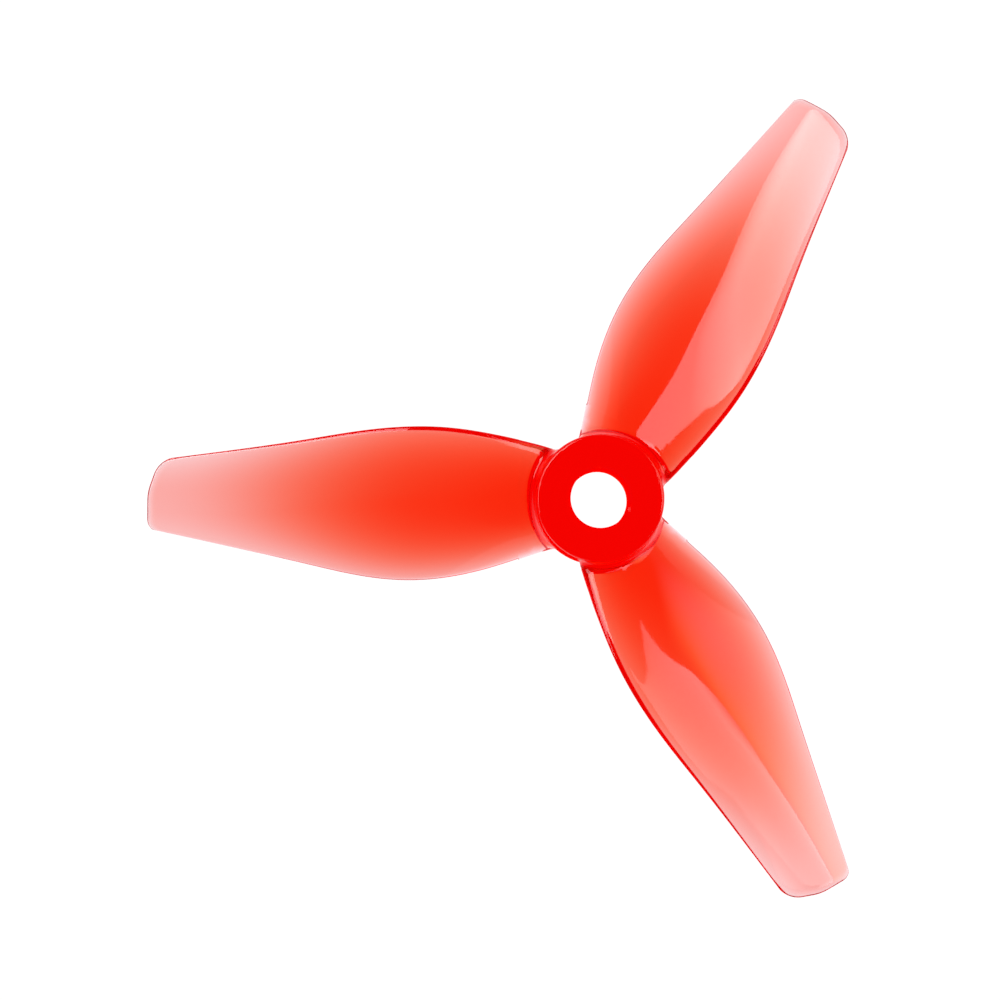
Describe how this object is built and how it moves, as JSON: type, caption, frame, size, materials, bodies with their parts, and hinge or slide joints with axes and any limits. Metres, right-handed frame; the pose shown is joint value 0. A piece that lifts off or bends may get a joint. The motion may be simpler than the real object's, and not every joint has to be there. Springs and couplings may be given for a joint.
{
  "type": "propeller",
  "caption": "Small moulded multirotor propeller with wide twisted blades, squared tips and a plain hub that slips over a motor shaft.",
  "frame": {"origin": "where the bore's axis meets the hub's lower face, the one that sits on the motor", "axes": "+Z along the bore towards the nut's side, the side the air comes from; blade 1 lies along +X with its leading edge towards -Y; seen from +Z the propeller turns clockwise"},
  "size_m": [0.0595, 0.0675, 0.0081],
  "materials": {
    "red_polycarbonate": "clear red, see-through where it is thin, glossy from a polished mould"
  },
  "bodies": {
    "root": {"hub": "red_polycarbonate", "blade_1": "red_polycarbonate", "blade_2": "red_polycarbonate", "blade_3": "red_polycarbonate"}
  },
  "joints": []
}
